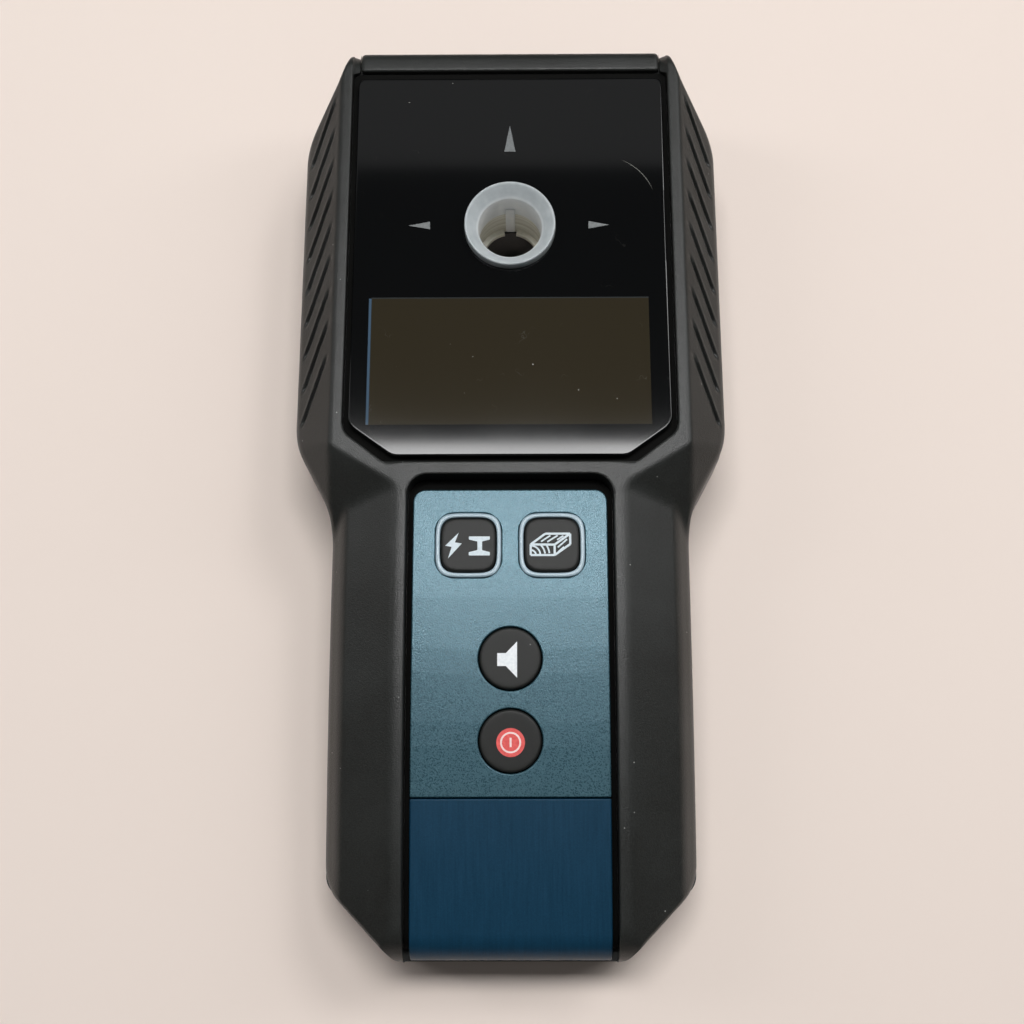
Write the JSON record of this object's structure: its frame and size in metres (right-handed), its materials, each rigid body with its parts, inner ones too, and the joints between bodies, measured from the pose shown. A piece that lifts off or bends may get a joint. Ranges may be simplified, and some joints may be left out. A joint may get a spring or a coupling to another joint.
{
  "type": "stud finder",
  "caption": "Hand-held stud finder lying on its back: wide sensor head with black glass window, lit marking hole and display, grip handle with key panel, and a battery door at the rear.",
  "frame": {"origin": "axis of the marking hole, on the rear face of the housing", "axes": "+X across the device to the right seen from the front, +Y along it towards the sensor head, +Z out of the front face"},
  "size_m": [0.0868, 0.1848, 0.0319],
  "materials": {
    "housing_plastic": "fine moulded texture",
    "window_glass": "polished black",
    "lcd": "dark olive screen",
    "light_guide": "milky translucent",
    "cream_plastic": "satin",
    "panel_metallic": "metallic blue-grey with fine sparkle",
    "cover_blue": "satin dark blue",
    "key_black": "satin black",
    "key_ring": "satin silver blue",
    "rubber_black": "matte",
    "circuit_board": "solder mask",
    "copper_wire": "enamelled wire",
    "steel": "zinc plated",
    "cell_case": "plain wrapped cell",
    "white_plastic": "satin",
    "felt": "pressed felt",
    "label_film": "satin film",
    "flex_film": "amber film",
    "led_lens": "clear lens"
  },
  "bodies": {
    "housing": {"front_housing": "housing_plastic", "top_bumper": "housing_plastic", "rear_housing": "housing_plastic", "glide_pads": "felt", "rear_label": "label_film", "window": "window_glass", "window_gasket": "rubber_black", "display": "lcd", "display_backlight": "white_plastic", "display_holder": "white_plastic", "display_flex": "flex_film", "marking_ring": "light_guide", "hole_sleeve": "cream_plastic", "ring_board": "circuit_board", "ring_leds": "led_lens", "sensor_board": "circuit_board", "coil_bobbin": "white_plastic", "sensor_coil": "copper_wire", "main_board": "circuit_board", "tact_switches": "steel", "shield_can": "steel", "buzzer": "key_black", "sensor_cable": "flex_film", "key_mat": "rubber_black", "keypad_panel": "panel_metallic", "lower_cover": "cover_blue", "live_metal_bezel": "key_ring", "wood_bezel": "key_ring", "battery_1": "cell_case", "battery_2": "cell_case", "battery_3": "cell_case", "battery_springs": "steel", "battery_contacts": "steel", "housing_screws": "steel", "board_screws": "steel"},
    "live_metal_button": {"live_metal_button": "key_black"},
    "wood_button": {"wood_button": "key_black"},
    "sound_button": {"sound_button": "key_black"},
    "power_button": {"power_button": "key_black"},
    "battery_door": {"battery_door": "housing_plastic", "battery_pad": "rubber_black"},
    "door_latch": {"door_latch": "housing_plastic"}
  },
  "joints": [
    {"name": "live_metal_press", "type": "slide", "parent": "housing", "child": "live_metal_button", "axis": [0, 0.0189, -0.9998], "range_m": [0, 0.0006], "stiffness_N_per_m": 1500},
    {"name": "wood_press", "type": "slide", "parent": "housing", "child": "wood_button", "axis": [0, 0.0189, -0.9998], "range_m": [0, 0.0006], "stiffness_N_per_m": 1500},
    {"name": "sound_press", "type": "slide", "parent": "housing", "child": "sound_button", "axis": [0, 0.0678, -0.9977], "range_m": [0, 0.0006], "stiffness_N_per_m": 1500},
    {"name": "power_press", "type": "slide", "parent": "housing", "child": "power_button", "axis": [0, 0.102, -0.9948], "range_m": [0, 0.0006], "stiffness_N_per_m": 1500},
    {"name": "battery_door_swing", "type": "hinge", "parent": "housing", "child": "battery_door", "pos_m": [0, -0.071, 0.0013], "axis": [1, 0, 0], "range_deg": [0, 95]},
    {"name": "door_latch_slide", "type": "slide", "parent": "battery_door", "child": "door_latch", "axis": [0, 1, 0], "range_m": [0, 0.0011], "stiffness_N_per_m": 800}
  ]
}
